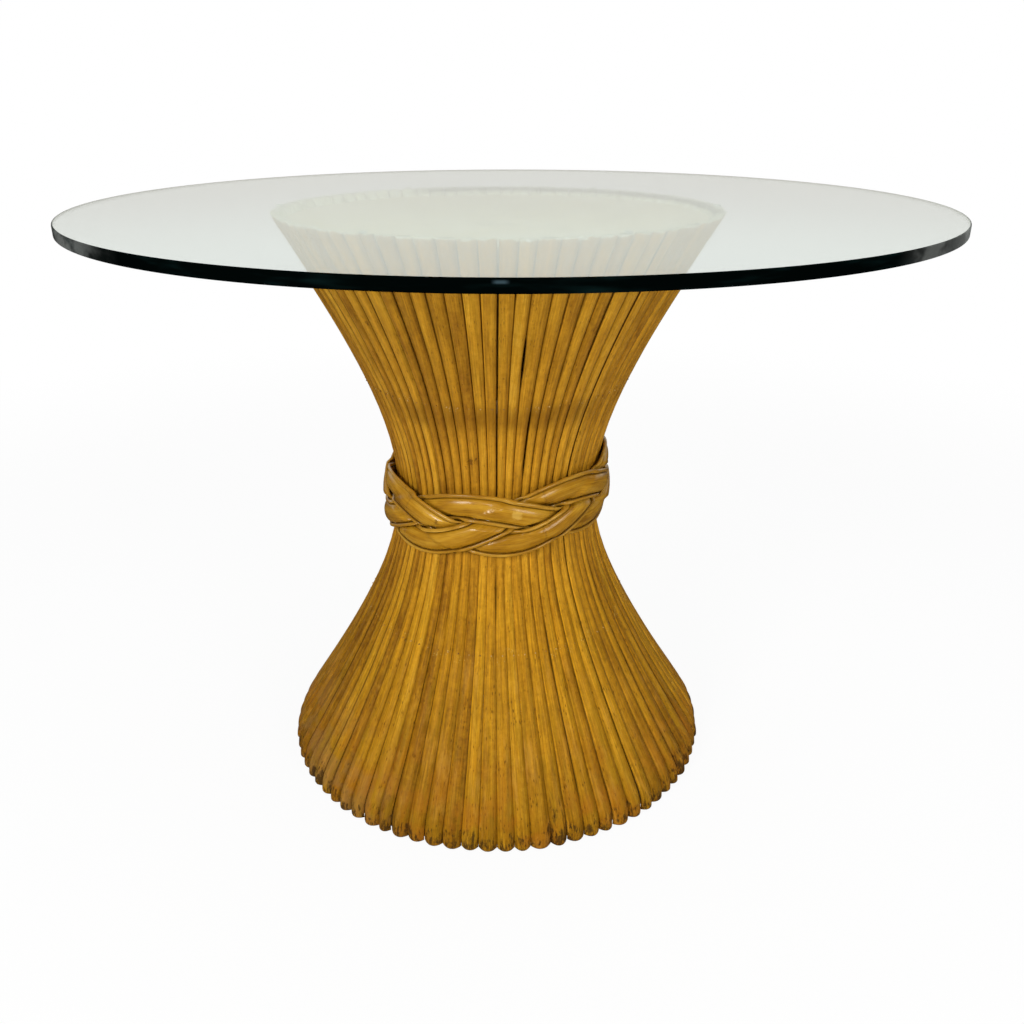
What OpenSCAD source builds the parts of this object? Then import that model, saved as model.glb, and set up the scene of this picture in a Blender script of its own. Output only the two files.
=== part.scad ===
// Round pedestal dining table: a loose glass top on a sheaf of half-round rattan poles,
// tied at the waist by a three-strand rattan plait.
// Angles go round the pedestal from the front (-Y) towards the right (+X).

/* [Overall] */
// Height of the glass top's upper face above the floor
table_height = 759; // [700:1:780]
// How far the pedestal's axis stands to the right of the glass's centre
pedestal_x = -22; // [-60:1:60]
// How far the pedestal's axis stands behind the glass's centre
pedestal_y = -19; // [-60:1:60]

/* [Glass] */
// Diameter of the glass
glass_d = 1066.8; // [900:0.1:1250]
// Thickness of the glass
glass_t = 12.7; // [8:0.1:19]
// Radius of the rounded arris at the glass's edges
glass_arris = 1.5; // [0.5:0.1:3]
// Number of clear bumpers under the glass
bumper_count = 6; // [3:1:12]
// Diameter of a bumper
bumper_d = 9; // [6:0.5:9]
// Thickness of a bumper
bumper_t = 2.3; // [1:0.1:5]

/* [Sheaf] */
// Number of poles in the sheaf
pole_count = 80; // [64:1:96]
// Depth of a pole from its crest to its flat back
pole_depth = 12; // [9:0.5:16]
// Gap between neighbouring poles
pole_gap = 0.3; // [0.2:0.05:0.8]
// Angle of the first seam from the front
seam_angle = 1; // [-2:0.1:2]
// Crest radius at the waist
waist_r = 136.7; // [125:0.1:155]
// Height of the narrowest place
waist_z = 386; // [340:1:430]
// Crest radius at the upper end
mouth_r = 279.5; // [240:0.5:320]
// How far the upper end stands to the right of the foot
mouth_offset = 6; // [-8:0.5:8]
// Height above which the sheaf leans to that side
lean_z = 300; // [260:5:330]
// Crest radius at which the lower flare would meet the floor if it ran on
flare_foot_r = 318; // [300:1:345]
// Crest radius at which the lower ends turn down
foot_r = 302; // [270:1:330]
// Softness of the turn at the lower ends
foot_soft = 4.5; // [2:0.1:10]
// Height of the turned-down end above the pole's end
foot_turn = 31; // [20:1:45]
// How far a pole's crest stands over its sides at the foot
foot_bulge = 8.5; // [4:0.1:9]
// How far a pole's crest stands over its sides at the waist
waist_bulge = 2.4; // [1:0.1:4]
// How far a pole's crest stands over its sides at the mouth
mouth_bulge = 3; // [1:0.1:6]

/* [Inner frame] */
// Thickness of the plywood top plate
top_plate_t = 18; // [12:0.5:25]
// How far the top plate lies below the poles' upper ends
plate_recess = 10; // [1:0.5:20]
// Thickness of the plywood foot ring
foot_ring_t = 18; // [12:0.5:25]
// Thickness of the hoops and the waist disc
hoop_t = 18; // [12:0.5:25]
// Height of the upper hoop's middle
upper_hoop_z = 547; // [500:1:600]
// Height of the lower hoop's middle
lower_hoop_z = 218; // [160:1:260]
// Radius of the open middle of the hoops and the foot ring
hoop_hole_r = 50; // [30:1:52]
// Gap between a disc's edge and the backs of the poles
seat_gap = 0.2; // [0.1:0.05:0.6]
// Diameter of an inner post
post_d = 35; // [25:0.5:40]
// Radius of the circle that the posts stand on
post_ring_r = 88; // [84:0.5:92]
// Depth of the sockets that the posts stand in
socket_depth = 10; // [5:0.5:11]
// Gap round a post in its hole
post_gap = 0.2; // [0.1:0.05:0.5]

/* [Fasteners] */
// Shank diameter of a post screw
screw_d = 4.5; // [3.5:0.1:6]
// Head diameter of a post screw
screw_head_d = 9; // [8:0.1:11]
// Length of a post screw
screw_length = 45; // [30:1:60]
// Gap round a screw in its hole
screw_gap = 0.05; // [0.02:0.01:0.1]
// Diameter of a brad
brad_d = 1.6; // [1.2:0.1:2.2]
// Length of a brad
brad_length = 25; // [18:0.5:32]
// How deep a brad's head is set under the crest
brad_set = 0.7; // [0.6:0.1:1.5]
// Number of glides
glide_count = 6; // [3:1:12]
// Diameter of a glide
glide_d = 25; // [16:0.5:30]
// Thickness of a glide
glide_t = 2.5; // [1.5:0.1:6]
// Radius of the circle that the glides lie on
glide_ring_r = 266; // [200:1:270]
// Shank diameter of a glide's nail
glide_nail_d = 2.5; // [2:0.1:4]
// Length of a glide's nail
glide_nail_length = 14; // [8:0.5:16]
// Head diameter of a glide's nail
glide_nail_head_d = 6; // [5:0.1:8]
// Head thickness of a glide's nail
glide_nail_head_t = 1; // [0.6:0.1:1.2]

/* [Plait] */
// Height of the plait's middle
plait_z = 393; // [380:1:405]
// How far the plait rises out of level at one side and sinks at the other
plait_lean = 15; // [0:0.5:16]
// Angle at which the plait stands highest
plait_lean_angle = 120; // [-180:1:180]
// Number of bights along each edge, which is a whole number and no multiple of three
bight_count = 7; // [7, 8, 10]
// How far a strand's middle swings up and down
plait_swing = 27.5; // [27:0.5:31]
// Angle at which one strand reaches its highest place
bight_angle = -16; // [-45:1:45]
// Gap between the poles and the plait's lowest layer
plait_gap = 0.5; // [0.4:0.1:3]
// Width of a strand's flat core
core_w = 24.5; // [20:0.5:25]
// Thickness of a strand's flat core
core_t = 7.2; // [5:0.1:8]
// Diameter of the round canes along a core's two edges
cane_d = 4.8; // [4:0.1:5.8]
// Gap between a core and its canes
cane_gap = 0.3; // [0.2:0.05:0.6]
// Gap between two strands where they cross
cross_gap = 1.3; // [1.2:0.1:2]
// Length over which a strand bends beside the one it crosses
drape_length = 7; // [5:0.5:9]
// Gap between a strand's end and the next strand's start
butt_gap = 1; // [0.5:0.1:3]
// Diameter of a tack at a strand's end
tack_d = 1.6; // [1.2:0.1:2.2]
// Length of a tack
tack_length = 18; // [14:0.5:20]
// Distance of a tack from its strand's end
tack_inset = 9; // [6:0.5:14]

/* [Hidden] */
$fn = 96;

// Heights of the sheaf, the plate and the glass
pole_z0 = glide_t;
glass_z0 = table_height - glass_t;
mouth_z = glass_z0 - bumper_t;
plate_z1 = mouth_z - plate_recess;
plate_z0 = plate_z1 - top_plate_t;

// Slopes that the two flares come to, far from the waist
upper_slope = sqrt(mouth_r * mouth_r - waist_r * waist_r) / (mouth_z - waist_z);
lower_slope = sqrt(flare_foot_r * flare_foot_r - waist_r * waist_r) / waist_z;

post_count = 4;

// Eight groups of neighbouring poles
group_count = 8;
group_angle = 360 / group_count;
pole_angle = 360 / pole_count;

// Points of a pole's rounded front, as shares of its half width
front_shares = [-1, -0.5, 0, 0.5, 1];
flare_steps = 5;
foot_steps = 2;

function sinh(u) = (exp(u) - exp(-u)) / 2;
function asinh(s) = ln(s + sqrt(s * s + 1));
function softmin(a, b, soft) = min(a, b) - soft * ln(1 + exp(-abs(a - b) / soft));

// Crest radius at a height: a hyperbola on each side of the waist, turned down at the foot
function flare_slope(z) = z < waist_z ? lower_slope : upper_slope;
function open_r(z) = sqrt(pow(waist_r, 2) + pow(flare_slope(z) * (z - waist_z), 2));
function crest_r(z) = softmin(open_r(z), foot_r, foot_soft);

// Heights of a pole's rings, closest where the flare bends most
lower_reach = asinh(lower_slope * (waist_z - pole_z0) / waist_r);
upper_reach = asinh(upper_slope * (mouth_z - waist_z) / waist_r);
function flare_reach(slope, reach) = waist_r / slope * sinh(reach);
ring_z = concat(
    [for (i = [0:foot_steps]) pole_z0 + foot_turn * pow(i / foot_steps, 1.5)],
    [for (i = [1:flare_steps - 1]) waist_z - flare_reach(lower_slope, lower_reach * (1 - i / flare_steps))],
    [waist_z],
    [for (i = [1:flare_steps - 1]) waist_z + flare_reach(upper_slope, upper_reach * i / flare_steps)],
    [mouth_z]
);
ring_crests = [for (z = ring_z) [z, crest_r(z)]];

// Crest radius of the poles as they are built, straight between two rings
function pole_r(z) = lookup(z, ring_crests);

// How far the sheaf has leaned at a height, again straight between two rings
ring_leans = [for (z = ring_z) [z, mouth_offset * max(0, (z - lean_z) / (mouth_z - lean_z))]];
function lean_x(z) = lookup(z, ring_leans);
function pole_bulge(z) = z < waist_z
    ? waist_bulge + (foot_bulge - waist_bulge) * pow((waist_z - z) / (waist_z - pole_z0), 2)
    : waist_bulge + (mouth_bulge - waist_bulge) * (z - waist_z) / (mouth_z - waist_z);

// Angle of a pole, counted from the front group's left end towards the right
function pole_azimuth(index) = seam_angle - group_angle / 2 + (index + 0.5) * pole_angle;

// Half the width of a pole where its sides are this far from the axis
function half_width(distance) = distance * tan(pole_angle / 2) - pole_gap / 2;
function front_point(share, r, bulge) = let (d = r - bulge * share * share) [share * half_width(d), -d];
function pole_section(z) = let (r = crest_r(z), back = r - pole_depth) concat(
    [[-half_width(back), -back]],
    [for (share = front_shares) front_point(share, r, pole_bulge(z))],
    [[half_width(back), -back]]
);

// Triangles of a solid swept through rings of n points, with both ends closed
function sweep_faces(n, rings) = concat(
    [for (j = [1:n - 2]) [0, j, j + 1]],
    [for (i = [0:rings - 2]) for (j = [0:n - 1]) [i * n + j, (i + 1) * n + j, (i + 1) * n + (j + 1) % n]],
    [for (i = [0:rings - 2]) for (j = [0:n - 1]) [i * n + j, (i + 1) * n + (j + 1) % n, i * n + (j + 1) % n]],
    [for (j = [1:n - 2]) [(rings - 1) * n, (rings - 1) * n + j + 1, (rings - 1) * n + j]]
);

// The bumpers lie on the poles' upper ends, halfway between their backs and their sides
bumper_ring_r = mouth_r - (pole_depth + mouth_bulge) / 2;

// Rows of brads stand at the middle of the disc that they are driven into
top_brad_z = plate_z0 + top_plate_t / 2;
foot_brad_z = pole_z0 + foot_ring_t / 2;

// Plait: one strand's wave, and how the strand lies over or under its neighbours
strand_count = 3;
wave_angle = 360 * strand_count / bight_count;
strand_w = core_w + 2 * (cane_gap + cane_d);
cross_lift = core_t + cross_gap;

// The plait's middle layer clears the poles under its crossings and behind its two edges
plait_reach = plait_swing + plait_lean;
under_r = max([for (side = [-1, 1]) pole_r(plait_z + side * plait_reach) + cross_lift / 2]);
edge_r = max([for (side = [-1, 1]) pole_r(plait_z + side * (plait_reach + strand_w / 2))]);
plait_r = max(under_r, edge_r) + plait_gap;
wave_steps = 34;
cane_sides = 5;
core_profile = [[1, 0], [0.6, 0.8], [0, 1], [-0.6, 0.8], [-1, 0], [0, 0]];

function plait_rise(a) = plait_lean * cos(a - plait_lean_angle);
function strand_phase(strand, a) = 90 + 360 * (a - bight_angle) / wave_angle + 120 * strand;
function strand_slope(phase) = plait_swing * cos(phase) * 360 / wave_angle / plait_r;

// Share of a strand's thickness that a neighbour bends by: one over it, none well beside it
function ramp(s) = s * s * (3 - 2 * s);
function beside(phase, z) = abs(z - plait_swing * sin(phase)) - strand_w / 2 * norm([1, strand_slope(phase)]);
function cover(phase, z) = 1 - ramp(max(0, min(1, beside(phase, z) / drape_length)));
function drape(phase, z) = cross_lift / 2 * (cover(phase - 120, z) - cover(phase + 120, z));

// A point of a strand: angle along it, distance across it and height over its underside
function strand_point(strand, a, across, height) =
    let (
        phase = strand_phase(strand, a),
        tilt = atan(strand_slope(phase)),
        pa = a - across * sin(tilt) / plait_r * 180 / PI,
        z = plait_swing * sin(phase) + across * cos(tilt),
        r = plait_r + drape(strand_phase(strand, pa), z) + height
    )
    [r * sin(pa), -r * cos(pa), plait_z + plait_rise(pa) + z];

function leaned_point(p) = [p[0] + lean_x(p[2]), p[1], p[2]];

// A strand starts at the back, under a crossing, where another strand ends
function under_angle(strand) = bight_angle - wave_angle * (60 + 120 * strand) / 360;
function strand_start(strand) =
    let (a = under_angle(strand)) a + wave_angle / 2 * round((180 - a) / (wave_angle / 2));
function follower(strand) = (strand + bight_count) % strand_count;
function joint_angle(strand) = strand_start(follower(strand)) + 360;
function strand_end(strand) = joint_angle(strand) - butt_gap / plait_r * 180 / PI;
function strand_rings(strand) =
    let (steps = round((joint_angle(strand) - strand_start(strand)) / wave_angle * wave_steps))
    [for (i = [0:steps]) min(strand_start(strand) + wave_angle * i / wave_steps, strand_end(strand))];

module at_pedestal() {
    translate([pedestal_x, pedestal_y, 0]) children();
}

// Move a piece sideways with the sheaf at a height
module leaned(z) {
    translate([lean_x(z), 0, 0]) children();
}

module turned(a) {
    rotate([0, 0, a]) children();
}

// Spread copies evenly on a circle, starting half a step from the front
module ring_of(count, r) {
    for (i = [0:count - 1]) {
        turned((i + 0.5) * 360 / count) translate([0, -r, 0]) children();
    }
}

module at_post(i) {
    turned(i * 360 / post_count) translate([0, -post_ring_r, 0]) children();
}

module at_posts() {
    for (i = [0:post_count - 1]) {
        at_post(i) children();
    }
}

// A disc whose edge follows the backs of the poles
module pole_disc(z0, thickness, hole_r) {
    z1 = z0 + thickness;
    edge_z = concat([z0], [for (z = ring_z) if (z > z0 && z < z1) z], [z1]);
    leaned((z0 + z1) / 2) rotate_extrude() polygon(concat(
        [[hole_r, z0]],
        [for (z = edge_z) [pole_r(z) - pole_depth - seat_gap, z]],
        [[hole_r, z1]]
    ));
}

module post_bores(z0, depth) {
    at_posts() translate([0, 0, z0]) cylinder(d = post_d + 2 * post_gap, h = depth);
}

// Screw with its head's face at the origin, pointing up; grow widens it into its own hole
module post_screw(grow) {
    head_h = (screw_head_d - screw_d) / 2;
    cylinder(d1 = screw_head_d + 2 * grow, d2 = screw_d + 2 * grow, h = head_h);
    translate([0, 0, head_h]) cylinder(d = screw_d + 2 * grow, h = screw_length - head_h + grow);
}

module foot_screws(grow) {
    at_posts() translate([0, 0, pole_z0]) post_screw(grow);
}

module top_screws(grow) {
    at_posts() translate([0, 0, plate_z1]) mirror([0, 0, 1]) post_screw(grow);
}

module glass_top() {
    r = glass_d / 2;
    color([0.62, 0.75, 0.72, 0.45])
    translate([0, 0, glass_z0]) rotate_extrude() {
        square([r - glass_arris, glass_t]);
        translate([0, glass_arris]) square([r, glass_t - 2 * glass_arris]);
        translate([r - glass_arris, glass_arris]) circle(glass_arris, $fn = 24);
        translate([r - glass_arris, glass_t - glass_arris]) circle(glass_arris, $fn = 24);
    }
}

module glass_bumpers() {
    color([0.9, 0.92, 0.9])
    at_pedestal() leaned(mouth_z) ring_of(bumper_count, bumper_ring_r) translate([0, 0, mouth_z]) {
        cylinder(d = bumper_d, h = bumper_t);
    }
}

module top_plate() {
    color([0.82, 0.82, 0.74])
    at_pedestal() difference() {
        pole_disc(plate_z0, top_plate_t, 0);
        post_bores(plate_z0, socket_depth);
        top_screws(screw_gap);
    }
}

module hoop(middle_z, hole_r) {
    z0 = middle_z - hoop_t / 2;
    color([0.76, 0.66, 0.48])
    at_pedestal() difference() {
        pole_disc(z0, hoop_t, hole_r);
        post_bores(z0, hoop_t);
    }
}

module foot_ring() {
    color([0.76, 0.66, 0.48])
    at_pedestal() difference() {
        pole_disc(pole_z0, foot_ring_t, hoop_hole_r);
        post_bores(pole_z0 + foot_ring_t - socket_depth, socket_depth);
        foot_screws(screw_gap);
        glide_nail_shanks();
    }
}

module post(i) {
    z0 = pole_z0 + foot_ring_t - socket_depth;
    z1 = plate_z0 + socket_depth;
    color([0.70, 0.56, 0.36])
    at_pedestal() difference() {
        at_post(i) translate([0, 0, z0]) cylinder(d = post_d, h = z1 - z0);
        foot_screws(screw_gap);
        top_screws(screw_gap);
    }
}

module post_screws_top() {
    color([0.55, 0.55, 0.56]) at_pedestal() top_screws(0);
}

module post_screws_foot() {
    color([0.55, 0.55, 0.56]) at_pedestal() foot_screws(0);
}

// Shanks of the glides' nails, which bite the foot ring line to line
module glide_nail_shanks() {
    ring_of(glide_count, glide_ring_r) translate([0, 0, glide_nail_head_t]) {
        cylinder(d = glide_nail_d, h = glide_nail_length - glide_nail_head_t, $fn = 32);
    }
}

module glide_nail_heads(grow) {
    ring_of(glide_count, glide_ring_r) cylinder(d = glide_nail_head_d + 2 * grow, h = glide_nail_head_t);
}

module glides() {
    edge = glide_t / 3;
    color([0.25, 0.22, 0.20])
    at_pedestal() difference() {
        ring_of(glide_count, glide_ring_r) {
            cylinder(d1 = glide_d - 2 * edge, d2 = glide_d, h = edge);
            translate([0, 0, edge]) cylinder(d = glide_d, h = glide_t - edge);
        }
        translate([0, 0, -glide_nail_head_t / 2]) glide_nail_heads(screw_gap);
        glide_nail_heads(screw_gap);
        glide_nail_shanks();
    }
}

module glide_nails() {
    color([0.6, 0.6, 0.6])
    at_pedestal() {
        ring_of(glide_count, glide_ring_r) translate([0, 0, glide_nail_head_t / 2]) union() {
            cylinder(d = glide_nail_head_d, h = glide_nail_head_t / 2);
            cylinder(d = glide_nail_d, h = glide_nail_length - glide_nail_head_t / 2, $fn = 32);
        }
    }
}

// One half-round pole, from its foot to the mouth
module pole(index) {
    a = pole_azimuth(index);
    points = [for (z = ring_z) for (p = pole_section(z)) [
        p[0] + lean_x(z) * cos(a),
        p[1] - lean_x(z) * sin(a),
        z
    ]];
    turned(a) polyhedron(points, sweep_faces(len(front_shares) + 2, len(ring_z)));
}

// The poles of one group, counted from the front group towards the right
module poles(group) {
    first = round(group * pole_count / group_count);
    last = round((group + 1) * pole_count / group_count) - 1;
    color([0.69, 0.48, 0.14])
    at_pedestal() for (index = [first:last]) pole(index);
}

module braid_core(strand) {
    angles = strand_rings(strand);
    points = [for (a = angles) for (p = core_profile)
        leaned_point(strand_point(strand, a, p[0] * core_w / 2, p[1] * core_t))];
    color([0.74, 0.53, 0.19])
    at_pedestal() polyhedron(points, sweep_faces(len(core_profile), len(angles)));
}

// The cane along a core's upper (side 1) or lower (side -1) edge
module braid_cane(strand, side) {
    middle = side * (core_w + cane_d) / 2 + side * cane_gap;
    angles = strand_rings(strand);
    points = [for (a = angles) for (k = [0:cane_sides - 1])
        let (turn = 360 * k / cane_sides)
        leaned_point(strand_point(strand, a, middle + cane_d / 2 * cos(turn), cane_d / 2 * (1 + sin(turn))))];
    color([0.78, 0.58, 0.24])
    at_pedestal() polyhedron(points, sweep_faces(cane_sides, len(angles)));
}

// A tack through a strand's core into the pole behind it
module tack(strand, a) {
    crown = strand_point(strand, a, 0, core_t);
    r = norm([crown[0], crown[1]]);
    leaned(crown[2]) turned(a) translate([0, -r + brad_set, crown[2]]) rotate([-90, 0, 0]) {
        cylinder(d = tack_d, h = tack_length, $fn = 24);
    }
}

module braid_tacks() {
    inset = tack_inset / plait_r * 180 / PI;
    color([0.45, 0.42, 0.38])
    at_pedestal() for (strand = [0:strand_count - 1]) {
        tack(strand, strand_start(strand) + inset);
        tack(strand, strand_end(strand) - inset);
    }
}

// One brad through every pole, at one height
module brad_row(z) {
    color([0.45, 0.42, 0.38])
    at_pedestal() for (index = [0:pole_count - 1]) {
        leaned(z) turned(pole_azimuth(index)) translate([0, -pole_r(z) + brad_set, z]) rotate([-90, 0, 0]) {
            cylinder(d = brad_d, h = brad_length, $fn = 24);
        }
    }
}

glass_top();
glass_bumpers();
top_plate();
hoop(upper_hoop_z, hoop_hole_r);  // upper_hoop
hoop(waist_z, hoop_hole_r);  // waist_disc
hoop(lower_hoop_z, hoop_hole_r);  // lower_hoop
foot_ring();
post(0);  // post_front
post(1);  // post_right
post(2);  // post_back
post(3);  // post_left
post_screws_top();
post_screws_foot();
glides();
glide_nails();
poles(0);  // poles_front
poles(1);  // poles_front_right
poles(2);  // poles_right
poles(3);  // poles_back_right
poles(4);  // poles_back
poles(5);  // poles_back_left
poles(6);  // poles_left
poles(7);  // poles_front_left
braid_core(0);  // braid_core_1
braid_core(1);  // braid_core_2
braid_core(2);  // braid_core_3
braid_cane(0, 1);  // braid_cane_upper_1
braid_cane(1, 1);  // braid_cane_upper_2
braid_cane(2, 1);  // braid_cane_upper_3
braid_cane(0, -1);  // braid_cane_lower_1
braid_cane(1, -1);  // braid_cane_lower_2
braid_cane(2, -1);  // braid_cane_lower_3
braid_tacks();
brad_row(top_brad_z);  // top_brads
brad_row(upper_hoop_z);  // upper_brads
brad_row(lower_hoop_z);  // lower_brads
brad_row(foot_brad_z);  // foot_brads
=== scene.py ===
import math

import bpy
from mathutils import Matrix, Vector


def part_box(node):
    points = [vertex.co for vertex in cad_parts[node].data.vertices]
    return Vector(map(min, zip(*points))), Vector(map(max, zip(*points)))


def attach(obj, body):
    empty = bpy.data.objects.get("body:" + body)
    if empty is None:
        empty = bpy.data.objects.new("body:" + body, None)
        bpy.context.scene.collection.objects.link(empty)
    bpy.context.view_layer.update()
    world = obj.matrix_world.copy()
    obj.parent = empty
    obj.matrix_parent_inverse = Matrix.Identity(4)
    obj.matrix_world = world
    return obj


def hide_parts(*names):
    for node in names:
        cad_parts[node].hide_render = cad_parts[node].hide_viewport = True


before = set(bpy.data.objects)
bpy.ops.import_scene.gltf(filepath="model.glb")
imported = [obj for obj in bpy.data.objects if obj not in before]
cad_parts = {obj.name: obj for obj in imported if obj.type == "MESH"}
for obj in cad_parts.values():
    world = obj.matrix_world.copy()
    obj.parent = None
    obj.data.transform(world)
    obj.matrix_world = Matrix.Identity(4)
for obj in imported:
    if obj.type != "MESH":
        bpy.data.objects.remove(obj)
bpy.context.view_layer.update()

scene = bpy.context.scene

# sizes that the CAD frame holds, in metres
glassLow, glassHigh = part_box("glass_top")
plateLow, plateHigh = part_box("top_plate")
polesLow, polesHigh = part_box("poles_front")
ringLow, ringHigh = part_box("foot_ring")
bumpersLow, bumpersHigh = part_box("glass_bumpers")
axisX = (ringLow[0] + ringHigh[0]) / 2
axisY = (ringLow[1] + ringHigh[1]) / 2
mouthZ = polesHigh[2]
lowEnd = polesLow[2] - 0.0020  # the poles' ends almost reach the floor
lean = {"from": 0.300, "mouth": (bumpersLow[0] + bumpersHigh[0]) / 2 - axisX}


def binary(operation, isReflected=False):  # a method that adds one Math node
    def method(term, other):
        return term.graph.math(operation, *((other, term) if isReflected else (term, other)))
    return method


class Term:  # a node's output that takes part in Python expressions
    __add__, __radd__ = binary("ADD"), binary("ADD", True)
    __sub__, __rsub__ = binary("SUBTRACT"), binary("SUBTRACT", True)
    __mul__, __rmul__ = binary("MULTIPLY"), binary("MULTIPLY", True)
    __truediv__, __rtruediv__ = binary("DIVIDE"), binary("DIVIDE", True)
    __pow__, __mod__ = binary("POWER"), binary("FLOORED_MODULO")
    __lt__, __gt__ = binary("LESS_THAN"), binary("GREATER_THAN")  # 1 where it is so, 0 elsewhere

    def __init__(self, graph, socket):
        self.graph = graph
        self.socket = socket

    def __neg__(self):
        return self * -1.0

    def __abs__(self):
        return self.graph.math("ABSOLUTE", self)


class Graph:  # a node tree, with one method that makes every node
    def __init__(self, tree, material=None):
        self.tree = tree
        self.material = material

    def node(self, kind, settings=None, values=None):
        made = self.tree.nodes.new(kind)
        for name, value in (settings or {}).items():
            if name == "stops":
                self.setStops(made.color_ramp, value)
            else:
                setattr(made, name, value)
        for key, value in (values or {}).items():
            self.feed(made.inputs[key], value)
        return made

    def feed(self, socket, value):
        if isinstance(value, Term):
            self.tree.links.new(value.socket, socket)
        elif socket.type == "RGBA" and len(value) == 3:
            socket.default_value = (*value, 1.0)
        else:
            socket.default_value = value

    def setStops(self, ramp, stops):
        while len(ramp.elements) < len(stops):
            ramp.elements.new(1.0)
        for element, (position, colour) in zip(ramp.elements, stops):
            element.position = position
            element.color = (*colour, 1.0)

    def term(self, kind, settings=None, values=None, output=0):
        return Term(self, self.node(kind, settings, values).outputs[output])

    def math(self, operation, *values):
        return self.term("ShaderNodeMath", {"operation": operation}, dict(enumerate(values)))

    def ramp(self, value, low, high):  # 0 at low, 1 at high, smooth between
        return self.term("ShaderNodeMapRange", {"interpolation_type": "SMOOTHSTEP"},
                         {"Value": value, "From Min": low, "From Max": high})

    def band(self, value, low, high, soft):  # 1 between low and high, 0 outside
        return self.ramp(value, low - soft, low + soft) * self.ramp(value, high + soft, high - soft)

    def vector(self, x, y, z):
        return self.term("ShaderNodeCombineXYZ", None, {"X": x, "Y": y, "Z": z})

    def noise(self, vector, scale=1.0, detail=2.0, roughness=0.5):
        return self.term("ShaderNodeTexNoise", None, {"Vector": vector, "Scale": scale, "Detail": detail,
                                                      "Roughness": roughness})

    def spots(self, vector):  # distance to the nearest scattered point
        return self.term("ShaderNodeTexVoronoi", None, {"Vector": vector, "Scale": 1.0})

    def parts(self, vector):  # the three numbers of a vector
        made = self.node("ShaderNodeSeparateXYZ", None, {"Vector": vector})
        return [Term(self, made.outputs[i]) for i in range(3)]

    def multiply(self, vector, factors):
        return self.term("ShaderNodeVectorMath", {"operation": "MULTIPLY"}, {0: vector, 1: factors})

    def distance(self, first, second):
        return self.term("ShaderNodeVectorMath", {"operation": "DISTANCE"}, {0: first, 1: second}, "Value")

    def fraction(self, value, factor):  # rises from 0 to 1 over and over, factor times in a metre
        return self.math("FRACT", value * factor)

    def mix(self, factor, first, second):  # colours
        made = self.node("ShaderNodeMix", {"data_type": "RGBA"}, {0: factor, 6: first, 7: second})
        return Term(self, made.outputs[2])

    def tint(self, colour, factor):  # a colour made lighter or darker by a number
        return self.term("ShaderNodeVectorMath", {"operation": "SCALE"}, {0: colour, "Scale": factor})


def addObject(name, data):
    made = bpy.data.objects.new(name, data)
    scene.collection.objects.link(made)
    return made


# camera at the photograph's place, which was solved from the round glass and the round foot
view = {"place": (0.0007, -1.2828, 0.8915), "pitch": 0.411, "focalPixels": 974.063, "photoWidth": 1024}


def makeCamera():
    data = bpy.data.cameras.new("photoCamera")
    data.sensor_width = 36.0
    data.lens = view["focalPixels"] / view["photoWidth"] * data.sensor_width
    data.clip_start = 0.01
    camera = addObject("photoCamera", data)
    camera.location = view["place"]
    camera.rotation_euler = (math.pi / 2 - view["pitch"], 0.0, 0.0)
    scene.camera = camera
    print("camera is set")


def newMaterial(name):
    material = bpy.data.materials.new(name)
    material.use_nodes = True
    material.node_tree.nodes.clear()
    return Graph(material.node_tree, material)


def finishMaterial(graph, shader):
    graph.node("ShaderNodeOutputMaterial", None, {"Surface": shader})
    return graph.material


def attributes(graph, *names):
    return [graph.term("ShaderNodeAttribute", {"attribute_name": name}, None, "Fac") for name in names]


def finishSurface(graph, colour, roughness, relief=None, others=None):
    # one Principled shader as the whole surface; relief is the bump's height, distance and strength
    values = {"Base Color": colour, "Roughness": roughness, **(others or {})}
    if relief:
        bump = dict(zip(("Height", "Distance", "Strength"), relief))
        values["Normal"] = graph.term("ShaderNodeBump", None, bump, "Normal")
    return finishMaterial(graph, graph.term("ShaderNodeBsdfPrincipled", None, values))


def objectPlace(graph):
    return graph.term("ShaderNodeTexCoord", None, None, "Object")


def rayKinds(graph, *names):
    rays = graph.node("ShaderNodeLightPath")
    return [Term(graph, rays.outputs[name]) for name in names]


def distanceAround(graph, x, y, centreX=0.0, centreY=0.0):  # distance from an upright line
    offX, offY = x - centreX, y - centreY
    return graph.math("SQRT", offX * offX + offY * offY)


# geometry trees
halfStep = 0.5  # keeps whole numbers clear of rounding where they are compared
hair = 0.01  # the same where they are divided


def newTree(name, sizes):  # its inputs have the names of the sizes
    tree = bpy.data.node_groups.new(name, "GeometryNodeTree")
    tree.interface.new_socket(name="Geometry", in_out="OUTPUT", socket_type="NodeSocketGeometry")
    kinds = {title: "Int" if isinstance(value, int) else "Float" for title, value in sizes.items()}
    kinds["Material"] = "Material"
    for title, kind in kinds.items():
        tree.interface.new_socket(name=title, in_out="INPUT", socket_type="NodeSocket" + kind)
    graph = Graph(tree)
    entry = graph.node("NodeGroupInput")
    return graph, {title: Term(graph, entry.outputs[title]) for title in kinds}


def randomValue(graph, low, high, index, seed):
    values = {2: low, 3: high, 7: index, 8: seed}
    return graph.term("FunctionNodeRandomValue", {"data_type": "FLOAT"}, values, 1)


def store(graph, geometry, name, value, domain="POINT"):
    return graph.term("GeometryNodeStoreNamedAttribute", {"data_type": "FLOAT", "domain": domain},
                      {"Geometry": geometry, "Name": name, "Value": value})


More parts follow.
